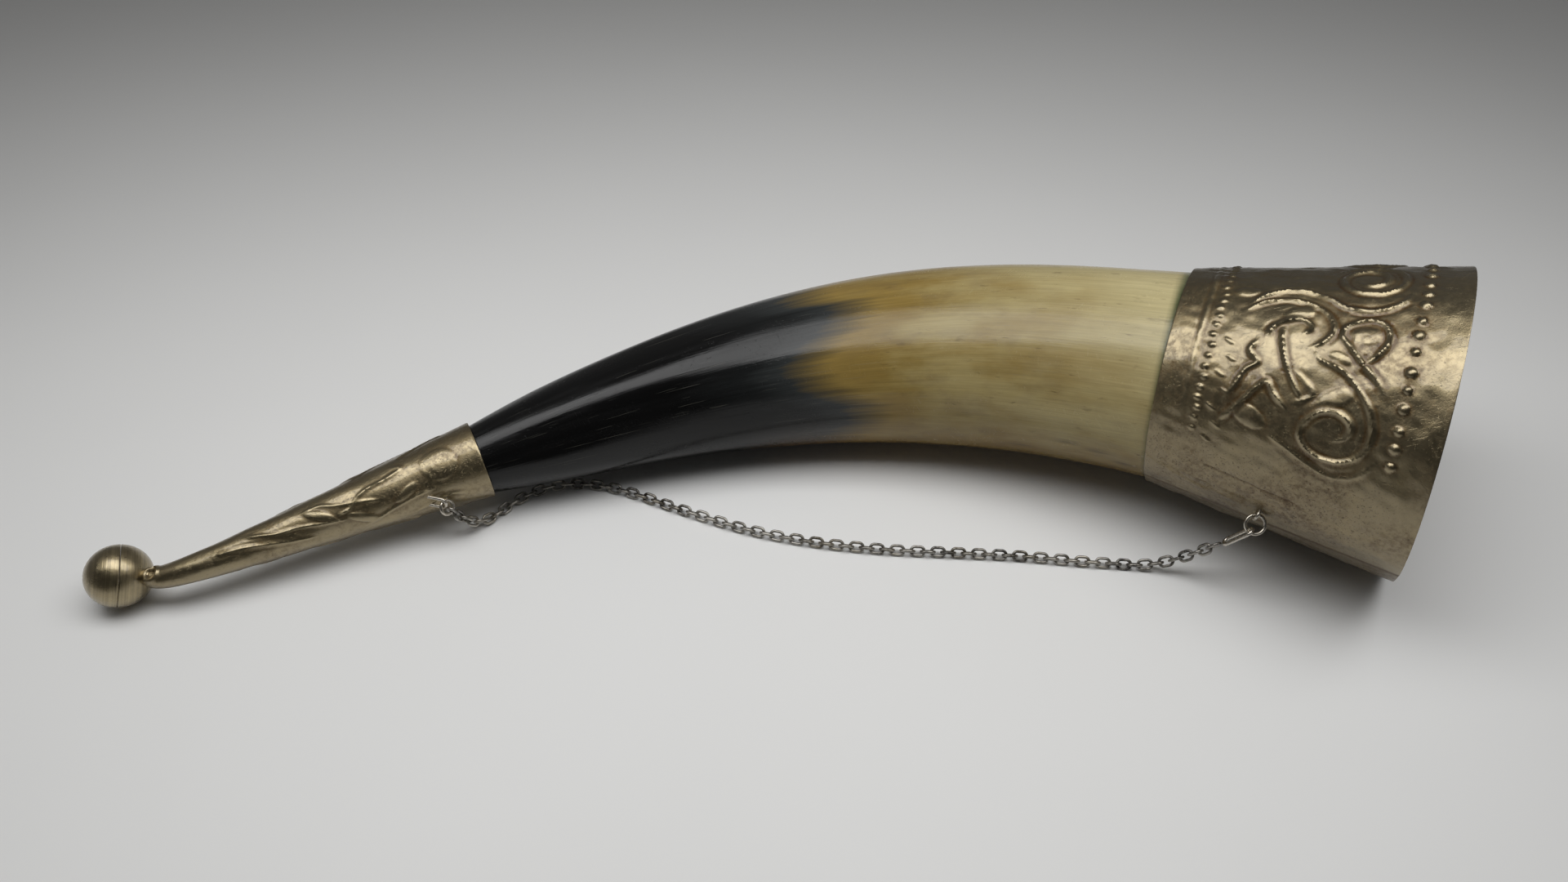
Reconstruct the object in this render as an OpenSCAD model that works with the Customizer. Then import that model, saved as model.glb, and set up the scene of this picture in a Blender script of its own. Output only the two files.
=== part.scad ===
// Drinking horn lying on its side, with a rim collar, a tip sheath that ends in a ball,
// and a fine cable chain from the sheath to the collar.
// +X runs from the tip to the mouth, +Z is up and z = 0 is the surface that the horn lies on.

/* [Horn] */
// Radius of the horn where it comes out of the tip sheath
horn_tip_r = 8.7; // [7:0.1:9]
// Radius of the horn where it goes into the rim collar
horn_base_r = 25.5; // [24:0.1:25.7]
// Wall of the horn at the mouth
horn_wall = 3; // [2:0.1:4]
// Share of the centreline at which the hollow of the horn starts
hollow_start = 0.42; // [0.38:0.01:0.5]
// Sides of the horn's round sections
horn_sides = 48; // [24:4:60]

/* [Rim collar] */
// Length of the collar along its own axis
collar_len = 57; // [50:0.5:60]
// Outer radius of the collar at its tip side
collar_r1 = 26.3; // [26:0.1:27]
// Outer radius of the collar at the mouth
collar_r2 = 36.1; // [35:0.1:36.5]
// Thickness of the rolled sheet
sheet_t = 0.8; // [0.5:0.1:1]
// Angle of the lap seam, from straight down toward the chain side
seam_angle = 63; // [50:1:75]
// Width of the sheet that laps under the seam, as an angle
lap_angle = 42; // [20:1:60]

/* [Tip sheath] */
// Outer radius of the sheath at its open end
sheath_r = 9.65; // [9.4:0.05:10]
// Outer radius of the sheath where it is pinched round the stem
sheath_neck_r = 2.5; // [2.3:0.05:3]
// Thickness of the sheath
sheath_t = 0.6; // [0.4:0.05:0.7]
// Radius of the ball
ball_r = 7.3; // [6:0.1:8]
// Thickness of the ball's two cups
cup_t = 0.7; // [0.5:0.1:1]

/* [Chain] */
// Diameter of the wire of a link
link_wire = 0.7; // [0.6:0.02:0.72]
// Outer length of a link
link_len = 3.95; // [3.9:0.01:4.05]
// Outer width of a link
link_wid = 2.8; // [2.7:0.05:3]
// Distance from one link to the next
link_pitch = 2.45; // [2.4:0.01:2.46]
// Diameter of the wire of the two rings, the jump link and the staples
ring_wire = 0.8; // [0.7:0.02:0.84]
// Outer diameter of the round ring at the tip
tip_ring_d = 4.2; // [4:0.1:4.6]
// Outer diameter of the round ring at the collar
collar_ring_d = 5.2; // [5:0.1:5.6]

/* [Hidden] */
RUNS = 9;
RUN_LINKS = 9;
$fn = 24;

horn_colour = "tan";
metal_colour = "rosybrown";
chain_colour = "gray";
cement_colour = "saddlebrown";

// Centreline of the horn: a Bezier curve in plan, on a plane that leans a little.
plan = [[-144, -35.5], [-129.5, -37], [-46.5, 22], [26, 54], [68.5, 22], [144.5, -14.5]];
plane_z = 20.5;
plane_lean_x = 0.1;
plane_lean_y = -0.061;
// Shares of the centreline at the sheath's open end and at the collar's tip side
sheath_end = 0.315;
collar_start = 0.851;
// Gaps round the horn inside the sheath and inside the collar
horn_gap_tip = 0.35;
horn_gap_collar = 0.3;

// ---- Curves and frames --------------------------------------------------------------

function unit(v) = v / norm(v);
function choose(n, k) = k == 0 ? 1 : choose(n, k - 1) * (n - k + 1) / k;
function bezier(points, t) = let (n = len(points) - 1)
    [for (i = [0 : n]) choose(n, i) * pow(t, i) * pow(1 - t, n - i)] * points;
function lerp(a, b, u) = a + (b - a) * u;

plane_n = unit([-plane_lean_x, -plane_lean_y, 1]);
function on_plane(p) = [p.x, p.y, plane_z + plane_lean_x * p.x + plane_lean_y * p.y];
mouth_c = on_plane(bezier(plan, 1));
mouth_dir = unit(mouth_c - on_plane(bezier(plan, 0.995)));
mouth_heading = atan2(mouth_dir.y, mouth_dir.x);
mouth_pitch = asin(mouth_dir.z);

// Inside the collar the centreline is straight.
function collar_share(t) = (t - collar_start) / (1 - collar_start);
function spine(t) = t > collar_start
    ? mouth_c - mouth_dir * collar_len * (1 - collar_share(t))
    : on_plane(bezier(plan, t));
function spine_dir(t) = t > collar_start ? mouth_dir
    : unit(on_plane(bezier(plan, t + 0.001)) - on_plane(bezier(plan, t - 0.001)));
function section(t, r, sides) = let (
        c = spine(t),
        side = unit(cross(plane_n, spine_dir(t))),
        up = cross(spine_dir(t), side)
    ) [for (k = [0 : sides - 1]) let (a = 360 * k / sides) c + r * (cos(a) * side + sin(a) * up)];

function horn_r(t) = t > collar_start
    ? lerp(collar_r1, collar_r2, collar_share(t)) - sheet_t - horn_gap_collar
    : t < sheath_end
        ? sheath_r_at(t) - sheath_t - horn_gap_tip
        : bezier([horn_tip_r, horn_tip_r + 11.1, horn_base_r - 3, horn_base_r - 0.3],
                 (t - sheath_end) / (collar_start - sheath_end));
function hollow_r(t) = let (u = (t - hollow_start) / (1 - hollow_start))
    (horn_r(t) - horn_wall) * pow(u, 0.3) - 3 * (1 - u) * pow(u, 0.3);
function sheath_r_at(t) = let (u = t / sheath_end)
    bezier([sheath_neck_r, sheath_neck_r + 1.1, sheath_r], u);

// A skin through a list of rings that have the same number of points. It is capped at its
// two ends, or closed on itself from the last ring to the first.
module skin(rings, closed = false) {
    n = len(rings[0]);
    m = len(rings);
    polyhedron(
        points = [for (r = rings) each r],
        faces = concat(
            [for (i = [0 : closed ? m - 1 : m - 2], k = [0 : n - 1])
                let (j = (i + 1) % m, l = (k + 1) % n)
                each [[i * n + k, j * n + k, j * n + l], [i * n + k, j * n + l, i * n + l]]],
            closed ? [] : [
                [for (k = [0 : n - 1]) k],
                [for (k = [n - 1 : -1 : 0]) (m - 1) * n + k]
            ]
        ),
        convexity = 6
    );
}

// Local frame at the mouth: +Z out of the mouth, +X down, -Y toward the chain.
module at_mouth() {
    translate(mouth_c) rotate([0, 90 - mouth_pitch, mouth_heading]) children();
}

// Stands its children at o with their X along d and their Z along the part of n across d.
module stand(o, d, n) {
    x = unit(d);
    y = unit(cross(n, x));
    z = cross(x, y);
    multmatrix([
        [x.x, y.x, z.x, o.x],
        [x.y, y.y, z.y, o.y],
        [x.z, y.z, z.z, o.z],
        [0, 0, 0, 1]
    ]) children();
}

// ---- Horn ---------------------------------------------------------------------------

tip_in_sheath = 0.06;
lip_back = 2.2;
horn_end = 1 - lip_back / collar_len * (1 - collar_start);

module horn_shell() {
    outer = concat(
        [for (i = [0 : 7]) lerp(tip_in_sheath, sheath_end - 0.004, i / 7)],
        [for (i = [0 : 24]) lerp(sheath_end + 0.004, collar_start, i / 24)],
        [for (i = [1 : 4]) lerp(collar_start, horn_end, i / 4)]
    );
    inner = [for (i = [16 : -1 : 0]) hollow_start + 0.004
        + (horn_end - hollow_start - 0.004) * pow(i / 16, 1.4)];
    color(horn_colour)
    skin(concat(
        [for (t = outer) section(t, horn_r(t), horn_sides)],
        [for (t = inner) section(t, hollow_r(t), horn_sides)]
    ));
}

// ---- Rim collar ---------------------------------------------------------------------

module cone_band(z0, z1, out, thick) {
    slope = (collar_r2 - collar_r1) / collar_len;
    r0 = collar_r2 + slope * z0 + out;
    r1 = collar_r2 + slope * z1 + out;
    translate([0, 0, z0]) difference() {
        cylinder(h = z1 - z0, r1 = r0, r2 = r1, $fn = 96);
        translate([0, 0, -(z1 - z0)])
            cylinder(h = 3 * (z1 - z0), r1 = 2 * r0 - r1 - thick, r2 = 2 * r1 - r0 - thick, $fn = 96);
    }
}

// A slice of space between two angles, measured from straight down toward the chain.
module slice(a0, a1, reach) {
    rotate([0, 0, -a1]) translate([0, 0, -collar_len * 1.5])
        rotate_extrude(angle = a1 - a0, $fn = 96) square([reach, collar_len * 2]);
}

module rim_collar() {
    color(metal_colour) at_mouth() difference() {
        cone_band(-collar_len, 0, 0, sheet_t);
        slice(seam_angle - lap_angle, seam_angle, collar_r2 + 5);
    }
}

// The end of the sheet that shows below the seam, a step lower than the rest.
lap_drop = 0.25;
module collar_seam_lap() {
    color(metal_colour) at_mouth() intersection() {
        cone_band(-collar_len, 0, -lap_drop, sheet_t - lap_drop);
        slice(seam_angle - lap_angle, seam_angle, collar_r2 + 5);
    }
}

// Inner sleeve that covers the end of the horn at the mouth, with a flat lip over its wall.
liner_len = 9;
liner_t = 0.6;
lip_t = 1.2;
lip_depth = 1.6;
lip_gap = 0.45;
bore_gap = 0.9;
module mouth_liner() {
    bore_r = collar_r2 - sheet_t - horn_wall - bore_gap;
    slope = 1.1 * (collar_r2 - collar_r1) / collar_len;
    color(metal_colour) at_mouth() union() {
        translate([0, 0, -lip_depth]) difference() {
            cylinder(h = lip_t, r = collar_r2 - sheet_t - lip_gap, $fn = 96);
            translate([0, 0, -1]) cylinder(h = lip_t + 2, r = bore_r - liner_t, $fn = 96);
        }
        translate([0, 0, -liner_len]) difference() {
            cylinder(h = liner_len - 1, r1 = bore_r - liner_len * slope, r2 = bore_r, $fn = 96);
            translate([0, 0, -1]) cylinder(h = liner_len + 1,
                r1 = bore_r - liner_t - (liner_len + 1) * slope, r2 = bore_r - liner_t, $fn = 96);
        }
    }
}

// Cement between the collar and the horn, set back from both ends of the collar.
collar_cement_t = 0.5;
cement_from_mouth = 4;
cement_from_tip_side = 6;
module collar_cement() {
    color(cement_colour) at_mouth()
        cone_band(-collar_len + cement_from_tip_side, -cement_from_mouth, -sheet_t, collar_cement_t);
}

// ---- Tip sheath and ball ------------------------------------------------------------

sheath_sides = 32;
sheath_rings = 22;
module tip_sheath() {
    shares = [for (i = [0 : sheath_rings]) lerp(0.002, sheath_end, i / sheath_rings)];
    back = [for (i = [sheath_rings : -1 : 0]) lerp(0.002, sheath_end, i / sheath_rings)];
    color(metal_colour) skin(concat(
        [for (t = shares) section(t, sheath_r_at(t), sheath_sides)],
        [for (t = back) section(t, sheath_r_at(t) - sheath_t, sheath_sides)]
    ), closed = true);
}

// Cement between the sheath and the horn's tip, with a hair of play on each side.
tip_cement_rings = 8;
tip_cement_start = 0.09;
tip_cement_play = 0.02;
module tip_cement() {
    n = tip_cement_rings;
    shares = [for (i = [0 : n]) lerp(tip_cement_start, sheath_end - 0.02, i / n)];
    outer_gap = sheath_t + tip_cement_play;
    inner_gap = sheath_t + horn_gap_tip - tip_cement_play;
    color(cement_colour) skin(concat(
        [for (t = shares) section(t, sheath_r_at(t) - outer_gap, sheath_sides)],
        [for (i = [n : -1 : 0]) section(shares[i], sheath_r_at(shares[i]) - inner_gap, sheath_sides)]
    ), closed = true);
}

ball_dir = unit([-0.985, 0.13, -0.106]);
cup_dir = unit([-0.87, -0.31, 0.38]);
neck_len = 2.1;
ball_c = spine(0) + ball_dir * (ball_r + neck_len);

// Frame of the stem: +Z along it, away from the horn.
module at_ball() {
    stand(ball_c, ball_dir, [0, 0, 1]) rotate([0, 90, 0]) children();
}

// Frame of the two cups, whose seam stands at its own angle: +Z toward the outer cup.
module at_cups() {
    stand(ball_c, cup_dir, [0, 0, 1]) rotate([0, 90, 0]) children();
}

module half_shell(z_sign) {
    rotate_extrude($fn = 64) intersection() {
        difference() {
            circle(r = ball_r, $fn = 64);
            circle(r = ball_r - cup_t, $fn = 64);
        }
        translate([0, z_sign > 0 ? 0.02 : -ball_r - 0.02]) square([ball_r, ball_r]);
    }
}

module finial_outer_cup() {
    color(metal_colour) at_cups() half_shell(1);
}

stem_r = 1.5;
stem_len = 9;
module finial_inner_cup() {
    color(metal_colour) difference() {
        at_cups() half_shell(-1);
        at_ball() translate([0, 0, -ball_r - 1]) cylinder(h = 4, r = stem_r + 0.02);
    }
}

// Stem that holds the ball: it runs from inside the ball into the pinched end of the sheath,
// with a small bead round it between the two.
bead_r = 0.75;
module finial_stem() {
    color(metal_colour) at_ball() union() {
        translate([0, 0, -ball_r - 5]) cylinder(h = stem_len, r = stem_r);
        translate([0, 0, -ball_r - bead_r - 0.15]) rotate_extrude() translate([stem_r, 0]) circle(r = bead_r);
    }
}

// ---- Rings, links and staples -------------------------------------------------------

// A flat oval link about the origin, long along X, in the XY plane; a ring is as wide as long.
module oval(len, wid, wire) {
    bend = (wid - wire) / 2;
    half = (len - wid) / 2;
    union() {
        translate([half, 0, 0]) rotate([0, 0, -90])
            rotate_extrude(angle = 180) translate([bend, 0]) circle(d = wire);
        translate([-half, 0, 0]) rotate([0, 0, 90])
            rotate_extrude(angle = 180) translate([bend, 0]) circle(d = wire);
        for (s = [-1, 1]) translate([-half, s * bend, 0]) rotate([0, 90, 0])
            cylinder(h = 2 * half, d = wire);
    }
}

module round_ring(outer_d, wire) {
    rotate_extrude() translate([(outer_d - wire) / 2, 0]) circle(d = wire);
}

// A wire staple: two legs from the origin along +X, joined by a half turn; legs go back by root.
module staple(reach, gap, wire, root) {
    straight = reach - gap / 2;
    union() {
        translate([straight, 0, 0]) rotate([0, 0, -90])
            rotate_extrude(angle = 180) translate([gap / 2, 0]) circle(d = wire);
        for (s = [-1, 1]) translate([-root, s * gap / 2, 0]) rotate([0, 90, 0])
            cylinder(h = straight + root, d = wire);
    }
}

play = 0.1;
ring_play = 0.2;

// Tip end: the staple stands out of the sheath's side and the ring hangs in it.
tip_foot_share = 0.271;
tip_foot = section(tip_foot_share, sheath_r_at(tip_foot_share) - 0.1, 4)[2];
tip_staple_dir = unit([0.96, -0.26, 0.02]);
tip_staple_normal = [0.3, -0.95, 0.15];
tip_staple_reach = 4.2;
tip_staple_gap = 2.3;
tip_pin = tip_foot + tip_staple_dir * (tip_staple_reach - ring_wire - ring_play);
tip_ring_r = (tip_ring_d - ring_wire) / 2;
tip_hang = unit([0.5, 0.05, -0.86]);
tip_axis = unit(cross(cross(tip_hang, [0.26, 0.88, 0.4]), tip_hang));
tip_ring_c = tip_pin + tip_hang * tip_ring_r;

module tip_staple() {
    color(metal_colour) stand(tip_foot, tip_staple_dir, tip_staple_normal)
        staple(tip_staple_reach, tip_staple_gap, ring_wire, 2.2);
}

module tip_ring() {
    color(metal_colour) stand(tip_ring_c, tip_hang, cross(tip_hang, tip_axis))
        round_ring(tip_ring_d, ring_wire);
}

// Collar end: the ring hangs in a small staple, and the jump link hangs on the ring.
collar_staple_reach = 1.8;
eye_back = 30.5;
eye_angle = 71;
mouth_down = [sin(mouth_pitch) * cos(mouth_heading), sin(mouth_pitch) * sin(mouth_heading), -cos(mouth_pitch)];
mouth_left = [sin(mouth_heading), -cos(mouth_heading), 0];
eye_radial = cos(eye_angle) * mouth_down + sin(eye_angle) * mouth_left;
collar_slope = atan((collar_r2 - collar_r1) / collar_len);
eye_n = cos(collar_slope) * eye_radial - sin(collar_slope) * mouth_dir;
eye_p = mouth_c - eye_back * mouth_dir
    + (collar_r2 - eye_back * tan(collar_slope)) * eye_radial;
collar_pin = eye_p + eye_n * (ring_wire / 2 + 1.5 * ring_play);
collar_ring_r = (collar_ring_d - ring_wire) / 2;
collar_hang = unit([-0.12, -0.63, -0.77]);
collar_axis = unit(cross(cross(collar_hang, [1, -0.1, -0.05]), collar_hang));
collar_ring_c = collar_pin + collar_hang * collar_ring_r;
jump_pull = unit([-0.62, 0.16, -0.77]);
jump_turn = 33;
jump_side = cos(jump_turn) * collar_hang - sin(jump_turn) * collar_axis;
jump_axis = cross(cross(collar_hang, collar_axis), jump_side);
jump_pin = collar_ring_c + jump_side * collar_ring_r;
jump_len = 8.2;
jump_wid = 3;
jump_c = jump_pin + jump_pull * ((jump_len - ring_wire) / 2 - ring_wire - play);

module collar_staple() {
    color(metal_colour) stand(eye_p, eye_n, collar_axis)
        staple(collar_staple_reach, 2.3, ring_wire, 1.8);
}

module collar_ring() {
    color(metal_colour) stand(collar_ring_c, collar_hang, cross(collar_hang, collar_axis))
        round_ring(collar_ring_d, ring_wire);
}

module collar_jump_link() {
    color(metal_colour) stand(jump_c, jump_pull, jump_axis)
        oval(jump_len, jump_wid, ring_wire);
}

// ---- Chain --------------------------------------------------------------------------

// The line that the chain lies along, from the tip ring to the jump link.
lie_z = 1.1;
chain_start = tip_ring_c + tip_hang * (tip_ring_r - ring_wire / 2 - link_wire / 2 - play);
chain_route = [
    chain_start, [-79.2, -16.4, 8.6], [-78.1, -15.6, 6.1], [-76.6, -14.4, 3.7], [-74.5, -12.6, 1.9],
    [-72, -9.9, 1.15], [-69, -6.5, lie_z], [-65, -3, lie_z],
    [-60, -0.4, lie_z], [-54, 0.6, lie_z], [-47, 0, lie_z], [-38, -3, lie_z], [-29, -7, lie_z],
    [-19.5, -11, lie_z], [-10, -14.6, lie_z], [0, -17.4, lie_z], [12, -19.7, lie_z],
    [26, -21.3, lie_z], [41, -22.2, lie_z], [56, -23.2, lie_z], [70, -24.8, lie_z],
    [79, -25.6, lie_z], [84, -26.1, 1.3], [88, -26.6, 2.6], [91.6, -27.2, 4.9],
    [94.8, -28, 7.9], [97.5, -29, 11.2], [99.5, -29.8, 14.2]
];
samples = 8;
function catmull(a, b, c, d, u) = 0.5 * (2 * b + (c - a) * u + (2 * a - 5 * b + 4 * c - d) * u * u
    + (3 * b - a - 3 * c + d) * u * u * u);
last = len(chain_route) - 1;
route = [for (i = [0 : last - 1], k = [0 : samples - 1]) catmull(
    chain_route[max(i - 1, 0)], chain_route[i], chain_route[i + 1],
    chain_route[min(i + 2, last)], k / samples)];

// Where the straight line from a to b leaves a ball of radius d about p.
function leave(p, a, b, d) = let (
        v = b - a, w = a - p, A = v * v, B = w * v, C = w * w - d * d
    ) a + v * ((-B + sqrt(B * B - A * C)) / A);
function next_index(p, d, i) = i >= len(route) - 1 || norm(route[i] - p) >= d ? i : next_index(p, d, i + 1);
// Joints of the chain: points one pitch apart along the route, each with its place on it.
function joints(p, i, left) = left == 0 ? [p]
    : let (j = next_index(p, link_pitch, i), q = leave(p, route[j - 1], route[j], link_pitch))
      concat([p], joints(q, j, left - 1));
chain_joint = joints(chain_start, 1, RUNS * RUN_LINKS);

function link_dir(i) = unit(chain_joint[i + 1] - chain_joint[i]);
// Each link leans 45 degrees the other way from the last.
function link_normal(i) = let (
        d = link_dir(i), side = unit(cross([0, 0, 1], d)), up = cross(d, side)
    ) unit(i % 2 == 0 ? up + side : up - side);

module chain_run(run) {
    color(chain_colour) for (i = [run * RUN_LINKS : (run + 1) * RUN_LINKS - 1])
        stand((chain_joint[i] + chain_joint[i + 1]) / 2, link_dir(i), link_normal(i))
            oval(link_len, link_wid, link_wire);
}

horn_shell();
rim_collar();
collar_seam_lap();
mouth_liner();
collar_cement();
tip_sheath();
tip_cement();
finial_outer_cup();
finial_inner_cup();
finial_stem();
tip_staple();
tip_ring();
collar_staple();
collar_ring();
collar_jump_link();
chain_run(0);  // chain_run_01
chain_run(1);  // chain_run_02
chain_run(2);  // chain_run_03
chain_run(3);  // chain_run_04
chain_run(4);  // chain_run_05
chain_run(5);  // chain_run_06
chain_run(6);  // chain_run_07
chain_run(7);  // chain_run_08
chain_run(8);  // chain_run_09
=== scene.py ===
import math

import bmesh
import bpy
import numpy as np
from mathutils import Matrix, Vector


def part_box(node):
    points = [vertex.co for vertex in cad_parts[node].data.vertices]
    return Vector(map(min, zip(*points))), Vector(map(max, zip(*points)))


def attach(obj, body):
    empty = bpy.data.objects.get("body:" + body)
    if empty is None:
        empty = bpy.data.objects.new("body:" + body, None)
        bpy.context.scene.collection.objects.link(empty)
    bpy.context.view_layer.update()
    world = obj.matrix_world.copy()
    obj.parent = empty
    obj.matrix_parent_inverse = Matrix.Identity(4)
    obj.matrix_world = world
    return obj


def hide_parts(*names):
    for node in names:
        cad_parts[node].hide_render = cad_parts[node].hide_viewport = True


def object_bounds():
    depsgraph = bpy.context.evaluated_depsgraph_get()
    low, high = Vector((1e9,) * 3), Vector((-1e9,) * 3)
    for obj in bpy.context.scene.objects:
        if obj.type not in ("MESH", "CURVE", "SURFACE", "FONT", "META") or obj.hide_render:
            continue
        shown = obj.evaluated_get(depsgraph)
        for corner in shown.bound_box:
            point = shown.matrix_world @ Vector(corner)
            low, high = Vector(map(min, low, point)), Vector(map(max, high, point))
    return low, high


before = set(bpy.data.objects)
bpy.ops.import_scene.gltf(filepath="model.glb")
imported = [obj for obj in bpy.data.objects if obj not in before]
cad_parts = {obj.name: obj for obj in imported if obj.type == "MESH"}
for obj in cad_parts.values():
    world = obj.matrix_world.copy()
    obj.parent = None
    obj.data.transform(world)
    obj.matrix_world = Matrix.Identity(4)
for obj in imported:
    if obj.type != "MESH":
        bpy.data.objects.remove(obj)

bl_info = {
    "name": "Mounted drinking horn",
    "version": (1, 0, 0),
    "blender": (4, 5, 0),
    "location": "View3D > Sidebar > Drinking horn",
    "description": "Finished surfaces of a drinking horn with an embossed collar, a tip sheath and a chain",
    "category": "Object",
}

MM = 0.001
CAD_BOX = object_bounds()
BODY = "horn"

# ---- Shape of the horn, in millimetres --------------------------------------------------
# The centreline is a Bezier curve in plan on a leaning plane, and straight inside the collar.

PLAN = np.array([[-144, -35.5], [-129.5, -37], [-46.5, 22], [26, 54], [68.5, 22], [144.5, -14.5]])
PLANE_Z, LEAN_X, LEAN_Y = 20.5, 0.1, -0.061
SHEATH_END, COLLAR_START = 0.315, 0.851
TIP_IN_SHEATH, HOLLOW_START = 0.06, 0.42
HORN_RADII = (8.7, 19.8, 22.5, 25.2)
SHEATH_RADII = (2.5, 3.6, 9.65)
SHEATH_T, SHEATH_GAP = 0.6, 0.35
COLLAR_LEN, COLLAR_R1, COLLAR_R2 = 57.0, 26.3, 36.1
COLLAR_T, COLLAR_GAP = 0.8, 0.3
COLLAR_TAPER = (COLLAR_R2 - COLLAR_R1) / COLLAR_LEN
COLLAR_ROUND_R = 32
SEAM_ANGLE, LAP_ANGLE, LAP_DROP = 63.0, 42.0, 0.25
HORN_WALL, LIP_BACK = 3.0, 2.2
NECK_PACE, NOTCH_TURN = 73.0, 98.0
CUP_DIR = (-0.87, -0.31, 0.38)
HORN_END = 1 - LIP_BACK / COLLAR_LEN * (1 - COLLAR_START)
# Where the black end's edge lies along the horn, and how far it reaches on at each turn:
# millimetres, then (millimetres further, turn in degrees, width in degrees).
BLACK_END = 160
BLACK_REACH = ((11, 107, 15), (12, 184, 20), (-6, 146, 13), (-3, 76, 14), (10, 250, 22), (-8, 300, 25),
               (8, 20, 20))
# Dark marks near the collar: millimetres along the horn, the turn and the width in degrees.
DARK_MARKS = ((240.1, 198, 2.6), (246.5, 206, 2.4), (219.0, 206, 2.2), (231.0, 194, 1.8), (243.0, 190, 1.6))


def unit(v):
    v = np.asarray(v, float)
    return v / np.linalg.norm(v, axis=-1, keepdims=True)


PLANE_NORMAL = unit((-LEAN_X, -LEAN_Y, 1))


def bezier(points, t):
    """Points on the Bezier curve, or values if points are numbers, at each share in t."""
    n, t = len(points) - 1, np.atleast_1d(np.asarray(t, float))
    weights = np.array([math.comb(n, i) * t**i * (1 - t) ** (n - i) for i in range(n + 1)])
    return np.tensordot(weights.T, np.asarray(points, float), 1)


def on_plane(p):
    return np.column_stack([p, PLANE_Z + LEAN_X * p[:, 0] + LEAN_Y * p[:, 1]])


MOUTH = on_plane(bezier(PLAN, 1))[0]
MOUTH_DIR = unit(MOUTH - on_plane(bezier(PLAN, 0.995))[0])
MOUTH_LEFT = unit((MOUTH_DIR[1], -MOUTH_DIR[0], 0))
MOUTH_DOWN = np.cross(MOUTH_DIR, MOUTH_LEFT)


def lerp(a, b, u):
    return a + (b - a) * u


def collar_share(t):
    return (t - COLLAR_START) / (1 - COLLAR_START)


def spine(t):
    t = np.atleast_1d(t)
    straight = MOUTH - (COLLAR_LEN * (1 - collar_share(t)))[:, None] * MOUTH_DIR
    return np.where((t > COLLAR_START)[:, None], straight, on_plane(bezier(PLAN, t)))


def spine_dir(t):
    t = np.atleast_1d(t)
    bent = unit(on_plane(bezier(PLAN, t + 0.001)) - on_plane(bezier(PLAN, t - 0.001)))
    return np.where((t > COLLAR_START)[:, None], MOUTH_DIR, bent)


def spine_length(t):
    """Length of the centreline from its tip to each share in t."""
    fine = np.linspace(0, 1, 2001)
    steps = np.linalg.norm(np.diff(spine(fine), axis=0), axis=1)
    return np.interp(t, fine, np.concatenate([[0], np.cumsum(steps)]))


def sections(t, radius, turn):
    """Rings about the centreline. turn is in degrees from the far side, over the top."""
    centre, along = spine(t), spine_dir(t)
    side = unit(np.cross(PLANE_NORMAL, along))
    up = np.cross(along, side)
    a = np.radians(turn)[None, :, None]
    radius = np.broadcast_to(np.asarray(radius).reshape(len(centre), -1), (len(centre), len(turn)))
    return centre[:, None] + radius[..., None] * (np.cos(a) * side[:, None] + np.sin(a) * up[:, None])


def sheath_radius(t):
    return bezier(SHEATH_RADII, np.asarray(t) / SHEATH_END)


def horn_radius(t):
    t = np.atleast_1d(t)
    in_sheath = sheath_radius(t) - SHEATH_T - SHEATH_GAP
    bare = bezier(HORN_RADII, (t - SHEATH_END) / (COLLAR_START - SHEATH_END))
    in_collar = lerp(COLLAR_R1, COLLAR_R2, collar_share(t)) - COLLAR_T - COLLAR_GAP
    return np.where(t > COLLAR_START, in_collar, np.where(t < SHEATH_END, in_sheath, bare))


def hollow_radius(t):
    u = np.clip((np.atleast_1d(t) - HOLLOW_START) / (1 - HOLLOW_START), 0, 1)
    return (horn_radius(t) - HORN_WALL) * u**0.3 - 3 * (1 - u) * u**0.3


def at_mouth(turn, back, radius):
    """Points about the collar's axis. turn is in degrees from straight down toward the chain."""
    a = np.radians(turn)[..., None]
    radial = np.cos(a) * MOUTH_DOWN + np.sin(a) * MOUTH_LEFT
    return MOUTH - back[..., None] * MOUTH_DIR + radius[..., None] * radial


def collar_radius(back):
    return COLLAR_R2 - COLLAR_TAPER * back


# ---- Meshes -----------------------------------------------------------------------------


def grid_faces(rows, cols, wrap, first=0):
    """Quads between neighbouring points of a grid whose columns may close on themselves."""
    i = np.arange(rows - 1)[:, None]
    k = np.arange(cols if wrap else cols - 1)[None, :]
    m = (k + 1) % cols
    quads = np.stack([i * cols + k, i * cols + m, (i + 1) * cols + m, (i + 1) * cols + k], -1)
    return (quads + first).reshape(-1, 4).tolist()


def add_piece(name, points, faces, nodes, material, body=BODY, crease=40.0):
    """A closed mesh piece from points in millimetres, in place of the CAD nodes named."""
    mesh = bpy.data.meshes.new(name)
    mesh.from_pydata((np.asarray(points) * MM).tolist(), [], faces)
    bm = bmesh.new()
    bm.from_mesh(mesh)
    bmesh.ops.recalc_face_normals(bm, faces=bm.faces)
    bm.to_mesh(mesh)
    bm.free()
    mesh.shade_smooth()
    mesh.set_sharp_from_angle(angle=math.radians(crease))
    piece = bpy.data.objects.new(name, mesh)
    bpy.context.scene.collection.objects.link(piece)
    mesh.materials.append(material)
    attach(piece, body)
    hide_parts(*nodes)
    return piece


def paint(piece, name, values):
    """Stores one number or one vector for each vertex, for the materials to read."""
    values = np.asarray(values, float)
    kind = "FLOAT_VECTOR" if values.ndim == 2 else "FLOAT"
    layer = piece.data.attributes.new(name, kind, "POINT")
    layer.data.foreach_set("vector" if values.ndim == 2 else "value", values.ravel())


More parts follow.
